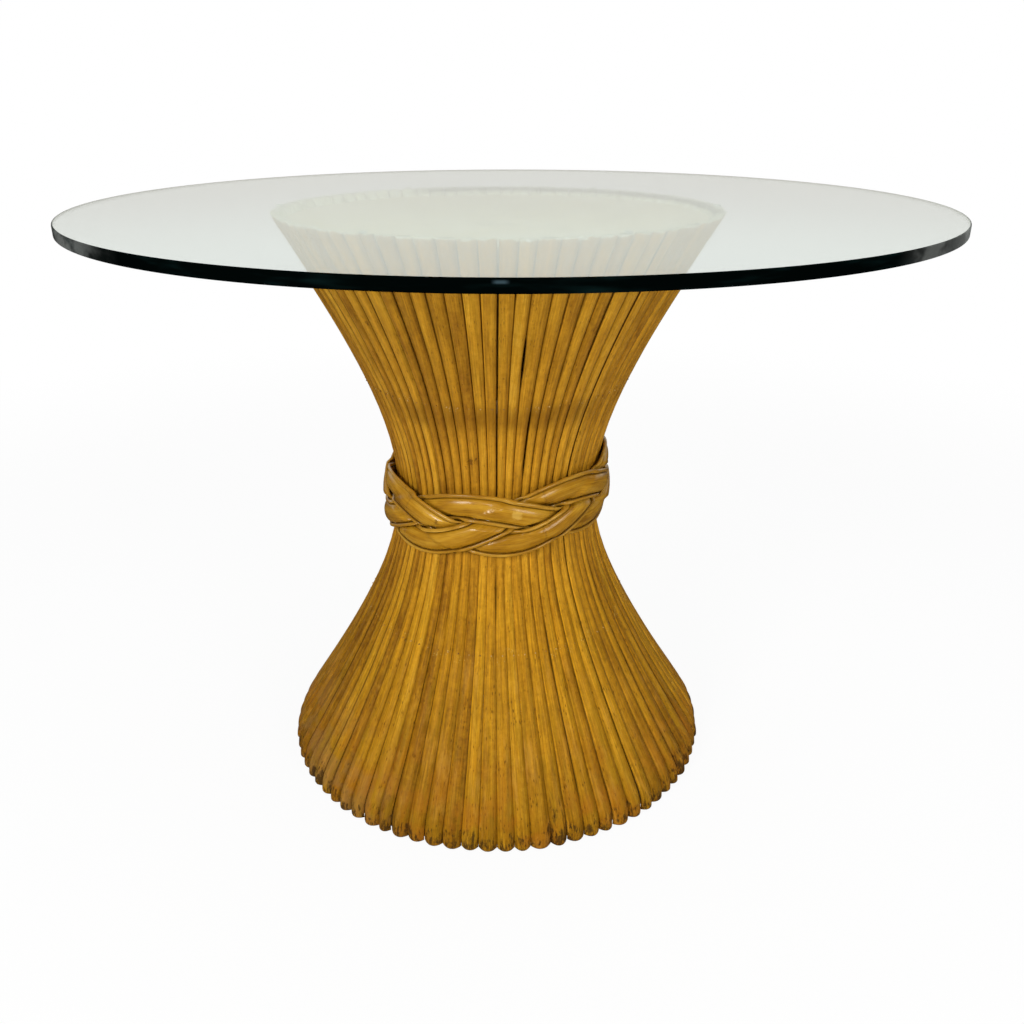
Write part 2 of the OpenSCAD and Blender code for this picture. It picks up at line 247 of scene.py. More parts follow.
def tubes(graph, count, sides, segments):  # closed tubes in one place, numbered by the attribute copy
    tube = graph.term("GeometryNodeMeshCylinder", {"fill_type": "NGON"},
                      {"Vertices": sides, "Side Segments": segments, "Radius": 1.0, "Depth": 1.0})
    points = graph.term("GeometryNodeMeshLine", {"mode": "OFFSET"},
                        {"Count": count, "Offset": (0.0, 0.0, 0.0)})
    copies = graph.term("GeometryNodeInstanceOnPoints", None, {"Points": points, "Instance": tube})
    copies = store(graph, copies, "copy", graph.term("GeometryNodeInputIndex"), "INSTANCE")
    return graph.term("GeometryNodeRealizeInstances", None, {"Geometry": copies})


def tubeParts(graph, sides):  # copy number, corner number round the tube, and share of its length
    copy = graph.term("GeometryNodeInputNamedAttribute", {"data_type": "FLOAT"}, {"Name": "copy"})
    x, y, z = graph.parts(graph.term("GeometryNodeInputPosition"))
    turn = graph.math("ARCTAN2", y, x) / math.tau
    corner = graph.math("ROUND", (turn * sides) % sides)
    return copy, corner * (corner < sides - halfStep), z + 0.5


def finishTree(graph, geometry, marks, position, material):  # marks are attributes for the material
    for name, value in marks.items():
        geometry = store(graph, geometry, name, value)
    placed = graph.term("GeometryNodeSetPosition", None, {"Geometry": geometry, "Position": position})
    real = graph.term("GeometryNodeRealizeInstances", None, {"Geometry": placed})
    dressed = graph.term("GeometryNodeSetMaterial", None, {"Geometry": real, "Material": material})
    graph.node("NodeGroupOutput", None, {"Geometry": dressed})


def growPiece(name, graph, settings, sharpAngle):
    holder = addObject(name + "Holder", bpy.data.meshes.new(name + "Holder"))
    modifier = holder.modifiers.new("shape", "NODES")
    modifier.node_group = graph.tree
    for item in graph.tree.interface.items_tree:
        if item.in_out == "INPUT" and item.name in settings:
            modifier[item.identifier] = settings[item.name]
    depsgraph = bpy.context.evaluated_depsgraph_get()
    mesh = bpy.data.meshes.new_from_object(holder.evaluated_get(depsgraph), preserve_all_data_layers=True,
                                           depsgraph=depsgraph)
    holder.modifiers.remove(modifier)
    bpy.data.objects.remove(holder)
    mesh.name = name
    mesh.shade_smooth()
    mesh.set_sharp_from_angle(angle=math.radians(sharpAngle))
    piece = addObject(name, mesh)
    print(name, "has", len(mesh.polygons), "faces")
    return piece


# sheaf of half-round poles
sheaf = {
    "Pole Count": 80, "Seed": 11,
    "Pole Depth": 0.012, "Pole Gap": 0.00014, "Seam Angle": math.radians(0.35),
    "Waist Radius": 0.1367, "Waist Height": 0.386, "Mouth Radius": 0.2795, "Mouth Height": mouthZ,
    "Flare Foot Radius": 0.318, "Foot Radius": 0.3046, "Foot Soft": 0.0045, "Foot Height": lowEnd,
    "Foot Bulge": 0.0085, "Waist Bulge": 0.0026, "Mouth Bulge": 0.0056,
}
sheafShape = {
    "sides": 16, "frontCorners": 13, "segments": 62, "groups": 8, "ringCrowding": 0.92,
    "endRound": 0.0030, "endNarrowing": 0.8, "topJitter": 0.0007, "footJitter": 0.0010,
    "widthJitter": 0.11, "wander": 0.0012, "wanderScale": 5.0,
    "crestJitter": 0.0014, "crestSway": 0.0007, "crestScale": 7.0,
    "bulgeLeast": 0.78, "bulgeMost": 1.1, "footBulgePower": 4, "mouthBulgePower": 0.6,
    "flatness": 2.2, "flatnessRise": 0.6, "gapLeast": 0.2, "gapSpread": 0.9, "crackEnd": 0.014,
}
# seams that gape: seam number from the front group's left end, lowest and highest place, width
cracks = [
    (5, 0.40, 0.80, 0.0014), (7, 0.585, 0.637, 0.0024), (8, 0.452, 0.545, 0.0019), (6, 0.690, 0.715, 0.0012),
    (10, 0.05, 0.25, 0.0008), (0, 0.08, 0.20, 0.0007), (5, 0.26, 0.31, 0.0012), (12, 0.58, 0.70, 0.0008),
]


def flareRadius(graph, z, size):
    # the crest's radius: a hyperbola on each side of the waist, turned down at the foot
    maths = graph.math
    low = maths("SQRT", size["Flare Foot Radius"] ** 2 - size["Waist Radius"] ** 2) / size["Waist Height"]
    high = maths("SQRT", size["Mouth Radius"] ** 2 - size["Waist Radius"] ** 2)
    high = high / (size["Mouth Height"] - size["Waist Height"])
    under = z < size["Waist Height"]
    slope = under * low + (1 - under) * high
    run = slope * (z - size["Waist Height"])
    openRadius = maths("SQRT", size["Waist Radius"] ** 2 + run * run)
    apart = abs(openRadius - size["Foot Radius"])
    turned = maths("LOGARITHM", 1 + maths("EXPONENT", -apart / size["Foot Soft"]), math.e)
    return maths("MINIMUM", openRadius, size["Foot Radius"]) - size["Foot Soft"] * turned


def leanAt(graph, z):  # how far the sheaf has leaned to its right
    share = (z - lean["from"]) / (mouthZ - lean["from"])
    return graph.math("MAXIMUM", share, 0.0) * lean["mouth"]


def seamAngle(graph, seam, z, radius, size):  # where the seam left of pole number seam runs
    shape = sheafShape
    count = size["Pole Count"]
    wrapped = (seam + hair) % count
    jitter = randomValue(graph, -1.0, 1.0, wrapped + halfStep, size["Seed"]) * shape["widthJitter"]
    sway = graph.noise(graph.vector(wrapped * 3.7, z * shape["wanderScale"], 1.3), 1.0, 1.0) - 0.5
    even = (seam + jitter) * (math.tau / count)
    return even + size["Seam Angle"] - math.pi / shape["groups"] + sway * 2 * shape["wander"] / radius


def seamGap(graph, seam, luck, z, size):
    gap = size["Pole Gap"] * (luck * sheafShape["gapSpread"] + sheafShape["gapLeast"])
    for number, low, high, width in cracks:
        here = abs(seam - number) < halfStep
        gap = gap + here * graph.band(z, low, high, sheafShape["crackEnd"]) * width
    return gap


def acrossFront(graph, corner, sides, front):
    # corners run across the rounded front, then back along the flat rear
    isFront = corner < front - halfStep
    frontShare = graph.math("SINE", (corner * (2 / (front - 1)) - 1) * (math.pi / 2))
    rearShare = 1 - (corner - (front - 1)) * (2 / (sides - front + 1))
    return isFront, isFront * frontShare + (1 - isFront) * rearShare


def sheafTree():
    graph, size = newTree("sheafTree", sheaf)
    shape = sheafShape
    body = tubes(graph, size["Pole Count"], shape["sides"], shape["segments"])
    pole, corner, share = tubeParts(graph, shape["sides"])

    def chance(low, high, number):  # a random number for each pole
        return randomValue(graph, low, high, pole, size["Seed"] + number)

    # rings stand closest at the two ends
    share = share - shape["ringCrowding"] * graph.math("SINE", share * math.tau) / math.tau
    topEnd = size["Mouth Height"] - chance(0.0, shape["topJitter"], 1)
    footEnd = size["Foot Height"] + chance(0.0, shape["footJitter"], 2)
    z = footEnd + (topEnd - footEnd) * share
    crest = flareRadius(graph, z, size) - chance(0.0, shape["crestJitter"], 3)
    sway = graph.noise(graph.vector(pole * 5.1, z * shape["crestScale"], 0.4), 1.0, 2.0) - 0.5
    crest = crest + sway * shape["crestSway"]

    isFront, across = acrossFront(graph, corner, shape["sides"], shape["frontCorners"])
    side = abs(across)
    below = (size["Waist Height"] - z) / (size["Waist Height"] - size["Foot Height"])
    above = (z - size["Waist Height"]) / (size["Mouth Height"] - size["Waist Height"])
    below, above = graph.math("MAXIMUM", below, 0.0), graph.math("MAXIMUM", above, 0.0)
    footShare, mouthShare = below ** shape["footBulgePower"], above ** shape["mouthBulgePower"]
    bulge = size["Waist Bulge"] + footShare * (size["Foot Bulge"] - size["Waist Bulge"])
    bulge = bulge + mouthShare * (size["Mouth Bulge"] - size["Waist Bulge"])
    bulge = bulge * chance(shape["bulgeLeast"], shape["bulgeMost"], 4)
    flatness = shape["flatness"] + above * shape["flatnessRise"]

    # the foot's ends are rounded over
    roundOver = shape["endRound"]
    short = graph.math("MAXIMUM", roundOver - (z - footEnd), 0.0)
    inset = roundOver - graph.math("SQRT", roundOver ** 2 - short * short * 0.999)
    outward = crest - bulge * (side ** flatness) - inset
    outward = isFront * outward + (1 - isFront) * (crest - size["Pole Depth"])

    left = seamAngle(graph, pole, z, crest, size)
    right = seamAngle(graph, pole + 1, z, crest, size)
    middle = (left + right) / 2
    half = outward * graph.math("TANGENT", (right - left) / 2) - inset * shape["endNarrowing"]
    isRight = across > 0.0
    nearSeam = (pole + isRight + hair) % size["Pole Count"]
    seamLuck = randomValue(graph, 0.0, 1.0, nearSeam + halfStep, size["Seed"] + 7)
    x = across * (half - seamGap(graph, nearSeam, seamLuck, z, size) / 2)
    cosine = graph.math("COSINE", middle)
    sine = graph.math("SINE", middle)
    position = graph.vector(leanAt(graph, z) + axisX + x * cosine + outward * sine,
                            axisY + x * sine - outward * cosine, z)

    marks = {"across": across, "rear": 1 - isFront, "side": x, "along": z, "tone": chance(0.0, 1.0, 5),
             "luck": chance(0.0, 1.0, 6), "seamLuck": seamLuck}
    finishTree(graph, body, marks, position, size["Material"])
    return graph


poleLook = {
    "tones": [(0.0, (0.205, 0.079, 0.0060)), (0.28, (0.315, 0.137, 0.0080)), (0.55, (0.405, 0.185, 0.0105)),
              (0.80, (0.475, 0.229, 0.0140)), (1.0, (0.53, 0.272, 0.023))],
    "dirtAndShade": (0.072, 0.026, 0.002), "scuff": (0.034, 0.015, 0.005), "stain": (0.135, 0.050, 0.003),
    "ruddy": (0.43, 0.148, 0.008), "dustAndSheen": (0.34, 0.185, 0.060), "warmth": (1.0, 0.985, 0.60),
    "olive": (0.250, 0.135, 0.005), "peach": (0.560, 0.275, 0.040), "filler": (0.78, 0.62, 0.30),
    "paint": (0.78, 0.74, 0.58), "lap": (0.68, 0.63, 0.48), "plaster": (1.0, 0.99, 0.92),
    "wallShade": (0.17, 0.155, 0.12), "knot": (0.085, 0.026, 0.004),
    "sheen": (1.0, 0.76, 0.30), "gloss": 0.18, "roughness": 0.40, "bump": 0.0008,
    "plateZ": plateHigh[2], "stainLow": 0.517, "stainHigh": 0.547, "stainSoft": 0.011,
    # knots: degrees from the front, height, size
    "knots": [(-12.3, 0.470, 0.0065), (-9.0, 0.474, 0.0035), (-14.5, 0.461, 0.0030), (-41.0, 0.645, 0.0040)],
    # level rows of nails: lowest and highest filler, its amount
    "nailRows": [(0.209, 0.227, 1.0), (0.540, 0.554, 0.8)],
}
# noise drawn out along a pole: scale across it and along it, offset, detail, roughness
poleNoise = {
    "fibre": (1050.0, 40.0, 5.0, 3.0, 0.6), "grain": (480.0, 16.0, 0.0, 4.0, 0.66),
    "streak": (110.0, 4.0, 3.0, 2.0, 0.5), "patch": (45.0, 20.0, 9.0, 4.0, 0.65),
    "torn": (330.0, 75.0, 2.0, 4.0, 0.7), "olive": (95.0, 13.0, 15.0, 5.0, 0.72),
    "peach": (80.0, 18.0, 23.0, 5.0, 0.72),
}
# scattered spots: scale across a pole and along it, offset, distances where a spot ends and is full
poleSpots = {"pore": (420.0, 110.0, 0.0, 0.28, 0.10), "fleck": (165.0, 72.0, 20.0, 0.15, 0.06)}
# heights over which something sets in
poleHeight = {
    "upper": (0.30, 0.48), "lower": (0.32, 0.14), "warm": (0.36, 0.22), "lowerDarker": (0.330, 0.120),
    "low": (0.150, 0.010), "pores": (0.34, 0.12), "ragged": (0.045, 0.003), "scuff": (0.060, 0.025),
}
# amounts; where there are two numbers, the value low on the sheaf and its change towards the mouth
poleAmount = {
    "tone": (0.55, -0.05), "level": (0.23, 0.03), "streak": 0.65, "patch": 0.85,
    "mottle": (1.20, -0.30), "grain": (1.80, -0.45), "fibre": 0.7, "ridgeLight": (0.26, 0.10),
    "seam": (0.34, 0.26), "seamReach": (0.0, 0.05), "turnedReach": (0.08, 0.07), "darkestSeam": 0.50,
    "pores": 0.50, "lowPores": 0.38, "filler": 0.5, "stain": 0.24,
    "toneStain": 0.28, "knot": 0.78, "lowerDarker": 0.09, "middle": 0.06,
    "ruddy": 0.60, "dustAndSheen": 0.45, "lowDark": 0.22, "olive": 0.40,
    "peach": 0.30, "rim": 0.85, "scuff": 0.82,
}


def surfacePoint(degrees, height):  # a place on the poles' crests
    waistZ, waistRadius = sheaf["Waist Height"], sheaf["Waist Radius"]
    if height < waistZ:
        slope = math.sqrt(sheaf["Flare Foot Radius"] ** 2 - waistRadius ** 2) / waistZ
    else:
        slope = math.sqrt(sheaf["Mouth Radius"] ** 2 - waistRadius ** 2) / (mouthZ - waistZ)
    radius = math.hypot(waistRadius, slope * (height - waistZ))
    angle = math.radians(degrees)
    leaned = max(0.0, (height - lean["from"]) / (mouthZ - lean["from"])) * lean["mouth"]
    return axisX + leaned + radius * math.sin(angle), axisY - radius * math.cos(angle), height


def poleMaterial():
    look = poleLook
    graph = newMaterial("varnishedRattan")
    across, side, along, isRear = attributes(graph, "across", "side", "along", "rear")
    tone, luck, seamLuck = attributes(graph, "tone", "luck", "seamLuck")
    place = objectPlace(graph)
    placeX, placeY = graph.parts(place)[:2]
    offX = placeX - axisX
    sideways = abs(offX) / distanceAround(graph, placeX, placeY, axisX, axisY)
    turned = graph.ramp(sideways, 0.50, 0.95)  # 1 on the poles that the front shows from the side
    isLeft = offX < 0.0
    shift = luck * 37.0

    def zone(name):  # what sets in over these heights
        return graph.ramp(along, *poleHeight[name])
    upper = zone("upper")

    def drawn(name):
        wide, long, offset, detail, roughness = poleNoise[name]
        return graph.noise(graph.vector(side * wide, along * long, shift + offset), 1.0, detail, roughness)

    def amount(name):
        value = poleAmount[name]
        return value[0] + upper * value[1] if isinstance(value, tuple) else value

    # grain, streaks and patches
    fibre, grain, streak, patch = drawn("fibre"), drawn("grain"), drawn("streak"), drawn("patch")
    mottle = graph.noise(place, 150.0, 5.0, 0.75)
    level = tone * amount("tone") + amount("level") + (streak - 0.5) * amount("streak")
    level = level + (patch - 0.5) * amount("patch") + (mottle - 0.5) * amount("mottle")
    colour = graph.term("ShaderNodeValToRGB", {"stops": look["tones"]}, {"Fac": level})
    colour = graph.tint(colour, 1 + (grain - 0.5) * amount("grain") + (fibre - 0.5) * amount("fibre"))
    # each pole's crest is painted lighter and its flanks darker, the right flank most: painted light and
    # shade, as if lit from the left
    colour = graph.tint(colour, 1.07 - 0.15 * graph.ramp(abs(across + 0.16), 0.45, 1.05))
    colour = graph.tint(colour, 1 - 0.10 * graph.ramp(across, 0.15, 0.95))

    # short dark pores and flecks, in clusters
    def spotted(name):
        wide, long, offset, outer, inner = poleSpots[name]
        spots = graph.spots(graph.vector(side * wide, along * long, shift + offset))
        return graph.ramp(spots + (fibre - 0.5) * 0.25, outer, inner)
    pores = spotted("pore") * graph.ramp(graph.noise(place, 48.0, 1.0), 0.46, 0.60)
    pores = graph.math("MAXIMUM", pores, spotted("fleck") * graph.ramp(patch, 0.56, 0.44))
    pores = pores * (amount("pores") + amount("lowPores") * zone("pores"))
    colour = graph.mix(pores, colour, look["dirtAndShade"])

    # pale filler beside some of the nails
    crumbs = graph.spots(graph.multiply(place, (330.0, 330.0, 330.0)))
    crumbs = graph.ramp(crumbs, 0.30, 0.16) * graph.ramp(graph.noise(place, 60.0, 1.0), 0.53, 0.62)
    for lowest, highest, share in look["nailRows"]:
        row = graph.band(along, lowest, highest, 0.006) * share
        colour = graph.mix(crumbs * row * amount("filler"), colour, look["filler"])

    # a darker stain round the sheaf, above the waist
    wave = (graph.noise(place, 18.0, 2.0) - 0.5) * 0.016
    stain = graph.band(along + wave, look["stainLow"], look["stainHigh"], look["stainSoft"])
    stain = stain * (amount("stain") + tone * amount("toneStain")) * (1 - turned * 0.75)
    colour = graph.mix(stain, colour, look["stain"])

    # knots
    for degrees, height, size in look["knots"]:
        apart = graph.distance(place, surfacePoint(degrees, height))
        ragged = apart + (graph.noise(place, 420.0, 3.0) - 0.5) * size * 2.4
        colour = graph.mix(graph.ramp(ragged, size, size * 0.3) * amount("knot"), colour, look["knot"])

    # the lower half is warmer, with olive and pink patches, and its ends are ruddy, and on the left side
    # pale beige: partly dust and partly painted sheen
    warm = graph.multiply(colour, look["warmth"])
    colour = graph.mix(zone("warm"), colour, warm)
    # darker towards the floor, lighter in a band about the waist
    colour = graph.tint(colour, 1 - zone("lowerDarker") * amount("lowerDarker"))
    colour = graph.tint(colour, 1 + graph.band(along, 0.285, 0.495, 0.03) * amount("middle"))
    low, lower = zone("low"), zone("lower")
    ruddy = low * graph.ramp(graph.noise(place, 24.0, 3.0, 0.6), 0.42, 0.60)
    colour = graph.mix(ruddy * amount("ruddy"), colour, look["ruddy"])
    dustAndSheen = low * graph.ramp(graph.noise(place, 21.0, 3.0, 0.6), 0.56, 0.44) * graph.ramp(offX, -0.08, -0.22)
    colour = graph.mix(dustAndSheen * amount("dustAndSheen"), colour, look["dustAndSheen"])
    colour = graph.tint(colour, 1 - low * amount("lowDark"))
    olive, peach = graph.ramp(drawn("olive"), 0.50, 0.64), graph.ramp(drawn("peach"), 0.52, 0.66)
    colour = graph.mix(olive * lower * amount("olive"), colour, look["olive"])
    colour = graph.mix(peach * lower * amount("peach"), colour, look["peach"])

    # the ends on the floor are scuffed down to dark fibres, some of them more
    torn = drawn("torn")
    blot = graph.noise(place, 75.0, 2.0, 0.6)
    ragged = torn * 0.65 + blot * 0.35 + zone("ragged") * 0.15
    worst = graph.ramp(luck, 0.80, 0.90)
    scuff = graph.ramp(ragged + worst * 0.07, 0.60, 0.71)
    scuff = scuff * graph.ramp(along - worst * 0.015, *poleHeight["scuff"])
    rim = graph.ramp(along - lowEnd + (torn - 0.5) * 0.006, 0.0026, 0.0)
    scuff = graph.math("MAXIMUM", scuff, rim * amount("rim"))
    colour = graph.mix(scuff * amount("scuff"), colour, look["scuff"])

    # the seams are darker, more in some than in others: partly dirt and partly painted shade, which reaches
    # further in on poles seen from the side; beside them a lighter ridge is a painted highlight
    ridgeAt = across - turned * (0.14 + isLeft * 0.20)
    ridgeLight = graph.band(ridgeAt, -0.93, -0.77, 0.05) * graph.ramp(seamLuck, 0.20, 0.55)
    colour = graph.tint(colour, 1 + ridgeLight * amount("ridgeLight"))
    edge = abs(across) + (grain - 0.5) * 0.08
    reach = amount("seamReach") + turned * amount("turnedReach")
    seam = graph.ramp(edge + reach, 0.93, 1.01) * (amount("seam") + seamLuck * seamLuck * amount("darkestSeam"))
    colour = graph.mix(seam, colour, look["dirtAndShade"])

    # the plate's paint laps over the upper ends; on part of the inner wall above the plate a dark grey band
    # is painted shade
    lap = along + (graph.noise(place, 90.0, 4.0, 0.65) - 0.5) * 0.014
    paint = graph.ramp(lap, mouthZ - 0.0024, mouthZ - 0.0014)
    crumb = graph.ramp(graph.noise(place, 210.0, 3.0, 0.7), 0.52, 0.60)
    colour = graph.mix(paint, colour, graph.mix(crumb, look["lap"], look["plaster"]))
    rear = graph.ramp(isRear, 0.02, 0.12) * graph.ramp(along, mouthZ - 0.0002, mouthZ - 0.0008)
    rear = rear * graph.ramp(along, look["plateZ"] - 0.006, look["plateZ"] - 0.002)
    # the band of painted shade runs along the wall's upper part, but not on its left side
    wallShadeEnd = offX + (graph.noise(place, 30.0, 3.0) - 0.5) * 0.06
    wallShadeHeight = along + (graph.noise(place, 90.0, 2.0) - 0.5) * 0.004
    wallShade = graph.ramp(wallShadeEnd, -0.16, -0.08) * graph.ramp(wallShadeHeight, mouthZ - 0.0068, mouthZ - 0.0048)
    inside = graph.mix(wallShade, graph.mix(crumb, look["paint"], look["plaster"]), look["wallShade"])
    colour = graph.mix(rear, colour, inside)

    height = grain * 0.55 + fibre * 0.25 - pores * 0.6 - scuff * torn * 1.2 + patch * 0.35
    height = height + paint * crumb * 0.8
    roughness = look["roughness"] + (fibre - 0.5) * 0.16 + (mottle - 0.5) * 0.20
    roughness = roughness + scuff * 0.3 + paint * 0.3
    return finishSurface(graph, colour, roughness, (height, look["bump"], 0.9),
                         {"Specular IOR Level": look["gloss"], "Specular Tint": look["sheen"]})


def makeSheaf():
    settings = {**sheaf, "Material": poleMaterial()}
    piece = growPiece("sheafPoles", sheafTree(), settings, 50)
    groups = ("front", "front_right", "right", "back_right", "back", "back_left", "left", "front_left")
    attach(piece, "pedestal")
    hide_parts(*("poles_" + group for group in groups))


# three-strand plait at the waist
plait = {
    "Cane Side": 0.0, "Middle Radius": 0.1454, "Middle Height": 0.393, "Bights": 7, "Swing": 0.0266,
    "Lean": 0.015, "Lean Angle": math.radians(120.0), "Bight Angle": math.radians(-15.6),
    "Core Width": 0.0260, "Core Thickness": 0.0077, "Cane Diameter": 0.0051,
    "Cane Gap": 0.0002, "Cross Gap": 0.0006, "Drape Length": 0.0065, "Butt Gap": 0.0008,
}
plaitShape = {
    "sides": 18, "frontCorners": 15, "segments": 240, "strands": 3, "sway": 0.0008, "crownPower": 2.1,
}


def strandWave(strand, angle, size, wave):
    return math.pi / 2 + (angle - size["Bight Angle"]) * math.tau / wave + strand * (math.tau / 3)


def strandCover(graph, phase, z, size, width, slopeFactor):  # 1 over a strand, 0 well beside it
    slope = graph.math("COSINE", phase) * slopeFactor
    spread = graph.math("SQRT", 1 + slope * slope)
    beside = abs(z - size["Swing"] * graph.math("SINE", phase)) - width / 2 * spread
    return graph.ramp(beside, size["Drape Length"], 0.0)


def plaitTree():
    graph, size = newTree("plaitTree", plait)
    shape = plaitShape
    body = tubes(graph, shape["strands"], shape["sides"], shape["segments"])
    strand, corner, share = tubeParts(graph, shape["sides"])

    width = size["Core Width"] + 2 * (size["Cane Gap"] + size["Cane Diameter"])
    wave = 3 * math.tau / size["Bights"]
    lift = size["Core Thickness"] + size["Cross Gap"]
    radius = size["Middle Radius"]
    slopeFactor = size["Swing"] * math.tau / wave / radius

    # each strand starts and ends under a crossing at the back
    def start(number):
        under = size["Bight Angle"] - wave * (60 + 120 * number) / 360
        return under + wave / 2 * graph.math("ROUND", (math.pi - under) / (wave / 2))
    follower = graph.math("ROUND", (strand + size["Bights"] + hair) % 3.0)
    first = start(strand)
    last = start(follower) + math.tau - size["Butt Gap"] / radius
    angle = first + (last - first) * share

    # the section: a flat-backed round core, or a round cane along one of its edges
    isCane = abs(size["Cane Side"])
    isFront, coreShare = acrossFront(graph, corner, shape["sides"], shape["frontCorners"])
    crown = (1 - abs(coreShare) ** shape["crownPower"]) * isFront
    coreHeight = size["Core Thickness"] * graph.math("SQRT", graph.math("MAXIMUM", crown, 0.0))
    turn = corner * (math.tau / shape["sides"])
    caneMiddle = size["Cane Side"] * ((size["Core Width"] + size["Cane Diameter"]) / 2 + size["Cane Gap"])
    caneAcross = caneMiddle - graph.math("COSINE", turn) * size["Cane Diameter"] / 2
    caneHeight = (1 + graph.math("SINE", turn)) * size["Cane Diameter"] / 2
    across = isCane * caneAcross + (1 - isCane) * coreShare * size["Core Width"] / 2
    thickness = isCane * caneHeight + (1 - isCane) * coreHeight

    # its place: over the strand before it, under the strand after it
    phase = strandWave(strand, angle, size, wave)
    tilt = graph.math("ARCTANGENT", graph.math("COSINE", phase) * slopeFactor)
    here = angle - across * graph.math("SINE", tilt) / radius
    z = size["Swing"] * graph.math("SINE", phase) + across * graph.math("COSINE", tilt)
    local = strandWave(strand, here, size, wave)
    third = math.tau / 3
    drape = strandCover(graph, local - third, z, size, width, slopeFactor)
    drape = drape - strandCover(graph, local + third, z, size, width, slopeFactor)
    outward = radius + drape * lift / 2 + thickness
    sway = graph.noise(graph.vector(strand * 9.0, angle * 3.0, size["Cane Side"]), 1.0, 1.0) - 0.5
    level = size["Middle Height"] + size["Lean"] * graph.math("COSINE", here - size["Lean Angle"])
    height = level + z + sway * shape["sway"]
    position = graph.vector(leanAt(graph, height) + axisX + outward * graph.math("SINE", here),
                            axisY - outward * graph.math("COSINE", here), height)

    marks = {"across": across, "along": angle * radius, "strand": strand + size["Cane Side"] * 0.2,
             "crossing": drape}
    finishTree(graph, body, marks, position, size["Material"])
    return graph


strandLook = {
    "core": [(0.0, (0.17, 0.066, 0.003)), (0.45, (0.365, 0.165, 0.006)), (1.0, (0.58, 0.315, 0.025))],
    "cane": [(0.0, (0.22, 0.090, 0.005)), (0.5, (0.39, 0.186, 0.012)), (1.0, (0.60, 0.350, 0.048))],
    "dirtAndShade": (0.060, 0.022, 0.002), "sheen": (1.0, 0.80, 0.38), "gloss": 0.22, "roughness": 0.30,
    "coat": 0.45, "coatRoughness": 0.20, "bump": 0.0006,
    "grooveFrom": 0.0122, "grooveTo": 0.0141, "grooveSoft": 0.0007, "grooveDirtAndShade": 0.68,
    "jointsPerMetre": 5.3, "jointDirt": 0.22,
    # one paler patch and one small knot: place, size, colour, strength
    "marks": [((0.0069, -0.171, 0.4031), 0.0080, (0.72, 0.46, 0.090), 0.45),
              ((-0.0945, -0.1544, 0.3859), 0.0042, (0.10, 0.036, 0.004), 0.70)],
}


def strandMaterial(name, stops):
    look = strandLook
    graph = newMaterial(name)
    across, along, strand, crossing = attributes(graph, "across", "along", "strand", "crossing")
    place = objectPlace(graph)
    shift = strand * 11.0
    grain = graph.noise(graph.vector(along * 14.0, across * 620.0, shift), 1.0, 4.0, 0.62)
    fibre = graph.noise(graph.vector(along * 46.0, across * 1700.0, shift + 4.0), 1.0, 3.0, 0.6)
    patch = graph.noise(graph.vector(along * 16.0, across * 60.0, shift + 7.0), 1.0, 3.0, 0.6)
    pore = graph.spots(graph.vector(along * 95.0, across * 420.0, shift))
    pores = graph.ramp(pore, 0.18, 0.07) * graph.ramp(graph.noise(place, 70.0, 1.0), 0.52, 0.64)

    # joints of the cane: thin dark rings, far apart
    uneven = graph.noise(graph.vector(along * 4.0, shift, 0.0), 1.0, 1.0) * 0.12
    ring = graph.fraction(along + uneven, look["jointsPerMetre"])
    ring = ring + (graph.noise(graph.vector(along * 60.0, across * 300.0, shift), 1.0, 2.0) - 0.5) * 0.014
    joint = graph.band(ring, 0.490, 0.500, 0.004)

    level = 0.5 + (patch - 0.5) * 1.7 + (grain - 0.5) * 1.1
    colour = graph.term("ShaderNodeValToRGB", {"stops": stops}, {"Fac": level})
    colour = graph.tint(colour, 1 + (fibre - 0.5) * 0.5)
    colour = graph.mix(pores * 0.6, colour, look["dirtAndShade"])
    colour = graph.mix(joint * look["jointDirt"], colour, look["dirtAndShade"])
    # where a strand dives under another it is darkened: painted shade
    under = graph.ramp(crossing, -0.35, -0.95)  # 1 where a strand dives under another
    colour = graph.tint(colour, 1 - under * 0.25)
    for centre, size, stain, strength in look["marks"]:
        ragged = graph.distance(place, centre) + (graph.noise(place, 260.0, 3.0) - 0.5) * size
        colour = graph.mix(graph.ramp(ragged, size, size * 0.6) * strength, colour, stain)

    # dirt and painted shade in the groove between a core and its canes
    beside = abs(across) + (grain - 0.5) * 0.0008
    groove = graph.band(beside, look["grooveFrom"], look["grooveTo"], look["grooveSoft"])
    colour = graph.mix(groove * look["grooveDirtAndShade"], colour, look["dirtAndShade"])
    height = grain * 0.5 + fibre * 0.25 - pores * 0.5 + patch * 0.5 + joint * 0.6
    roughness = look["roughness"] + (fibre - 0.5) * 0.12 + (patch - 0.5) * 0.16
    return finishSurface(graph, colour, roughness, (height, look["bump"], 0.7), {
        "Specular IOR Level": look["gloss"], "Specular Tint": look["sheen"],
        "Coat Weight": look["coat"], "Coat Roughness": look["coatRoughness"]})


def makePlait():
    graph = plaitTree()
    coreFinish = strandMaterial("glossyCore", strandLook["core"])
    caneFinish = strandMaterial("glossyCane", strandLook["cane"])
    parts = (("plaitCores", 0.0, coreFinish, "braid_core_", "rattan_core"),
             ("plaitUpperCanes", 1.0, caneFinish, "braid_cane_upper_", "rattan_cane"),
             ("plaitLowerCanes", -1.0, caneFinish, "braid_cane_lower_", "rattan_cane"))
    for name, side, finish, nodes, slot in parts:
        piece = growPiece(name, graph, {**plait, "Cane Side": side, "Material": finish}, 60)
        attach(piece, "pedestal")
        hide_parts(*(nodes + str(number) for number in (1, 2, 3)))


# glass top
glass = {
    "segments": 360, "arris": 0.0015, "arrisSteps": 4, "ior": 1.5, "clear": (0.67, 0.72, 0.70),
    "shade": (0.86, 0.90, 0.87), "edge": (0.0004, 0.0012, 0.0011), "edgeGlint": (0.003, 0.010, 0.010),
    "edgeSideLight": (0.19, 0.20, 0.19), "glint": (0.06, 0.10, 0.12), "smear": 0.012,
}


